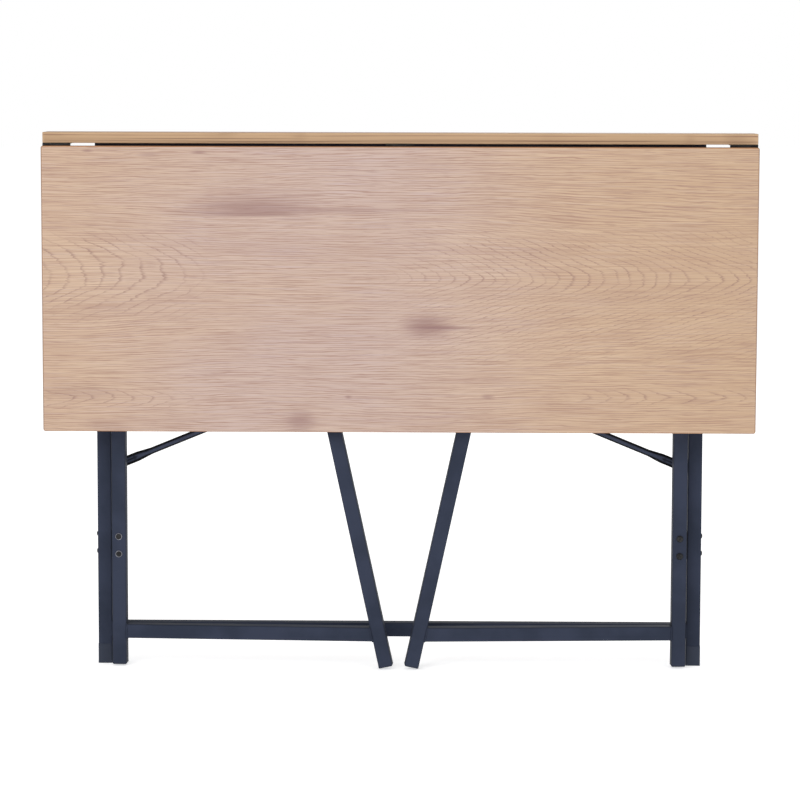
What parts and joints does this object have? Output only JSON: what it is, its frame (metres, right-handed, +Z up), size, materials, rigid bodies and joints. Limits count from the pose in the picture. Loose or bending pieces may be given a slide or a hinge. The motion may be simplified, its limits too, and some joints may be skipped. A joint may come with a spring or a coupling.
{
  "type": "gateleg table",
  "caption": "Wall-side gateleg table, folded: narrow fixed oak-look top, hanging leaf, square steel tube spine with an X-brace, and swinging trapezoid gates.",
  "frame": {"origin": "on the floor, at the centre of the folded table's bounding box", "axes": "+X to the right along the table's width, +Z up, the hanging leaf's outer face looks towards -Y"},
  "size_m": [1, 0.0836, 0.76],
  "materials": {
    "oak_board": "satin",
    "navy_steel": "satin",
    "black_steel": "satin",
    "dark_plastic": "matte"
  },
  "bodies": {
    "frame": {"fixed_top": "oak_board", "spine_leg_left": "navy_steel", "spine_leg_right": "navy_steel", "spine_foot_left": "dark_plastic", "spine_foot_right": "dark_plastic", "spine_top_rail": "navy_steel", "spine_stretcher": "navy_steel", "brace_rod_rising": "navy_steel", "brace_rod_falling": "navy_steel", "brace_rivet": "black_steel", "brace_bolt_rising_left": "black_steel", "brace_bolt_rising_right": "black_steel", "brace_bolt_falling_left": "black_steel", "brace_bolt_falling_right": "black_steel", "leaf_hinge_left_top_plate": "black_steel", "leaf_hinge_left_pin": "black_steel", "leaf_hinge_centre_top_plate": "black_steel", "leaf_hinge_centre_pin": "black_steel", "leaf_hinge_right_top_plate": "black_steel", "leaf_hinge_right_pin": "black_steel", "left_gate_lower_hinge_spine_plate": "black_steel", "left_gate_lower_hinge_pin": "black_steel", "left_gate_upper_hinge_spine_plate": "black_steel", "left_gate_upper_hinge_pin": "black_steel", "right_gate_lower_hinge_spine_plate": "black_steel", "right_gate_lower_hinge_pin": "black_steel", "right_gate_upper_hinge_spine_plate": "black_steel", "right_gate_upper_hinge_pin": "black_steel"},
    "leaf": {"drop_leaf": "oak_board", "leaf_hinge_left_leaf_plate": "black_steel", "leaf_hinge_centre_leaf_plate": "black_steel", "leaf_hinge_right_leaf_plate": "black_steel"},
    "left_gate": {"left_gate_stile": "navy_steel", "left_gate_stile_foot_plug": "dark_plastic", "left_gate_stile_top_plug": "dark_plastic", "left_gate_slanted_leg": "navy_steel", "left_gate_slanted_leg_foot_plug": "dark_plastic", "left_gate_slanted_leg_top_plug": "dark_plastic", "left_gate_bottom_rail": "navy_steel", "left_gate_top_rail": "navy_steel", "left_gate_lower_hinge_gate_plate": "black_steel", "left_gate_upper_hinge_gate_plate": "black_steel", "left_gate_lower_bolt_low": "black_steel", "left_gate_lower_bolt_high": "black_steel", "left_gate_upper_bolt_low": "black_steel", "left_gate_upper_bolt_high": "black_steel"},
    "right_gate": {"right_gate_stile": "navy_steel", "right_gate_stile_foot_plug": "dark_plastic", "right_gate_stile_top_plug": "dark_plastic", "right_gate_slanted_leg": "navy_steel", "right_gate_slanted_leg_foot_plug": "dark_plastic", "right_gate_slanted_leg_top_plug": "dark_plastic", "right_gate_bottom_rail": "navy_steel", "right_gate_top_rail": "navy_steel", "right_gate_lower_hinge_gate_plate": "black_steel", "right_gate_upper_hinge_gate_plate": "black_steel", "right_gate_lower_bolt_low": "black_steel", "right_gate_lower_bolt_high": "black_steel", "right_gate_upper_bolt_low": "black_steel", "right_gate_upper_bolt_high": "black_steel"}
  },
  "joints": [
    {"name": "leaf_fold", "type": "hinge", "parent": "frame", "child": "leaf", "pos_m": [0, -0.0246, 0.7428], "axis": [-1, 0, 0], "range_deg": [0, 90]},
    {"name": "left_gate_swing", "type": "hinge", "parent": "frame", "child": "left_gate", "pos_m": [-0.4094, 0.0146, 0.34], "axis": [0, 0, -1], "range_deg": [0, 30]},
    {"name": "right_gate_swing", "type": "hinge", "parent": "frame", "child": "right_gate", "pos_m": [0.4094, 0.0146, 0.34], "axis": [0, 0, 1], "range_deg": [0, 30]}
  ],
  "couplings": [
    {"joint": "left_gate_swing", "follows": "leaf_fold", "ratio": 0.3333},
    {"joint": "right_gate_swing", "follows": "leaf_fold", "ratio": 0.3333}
  ]
}
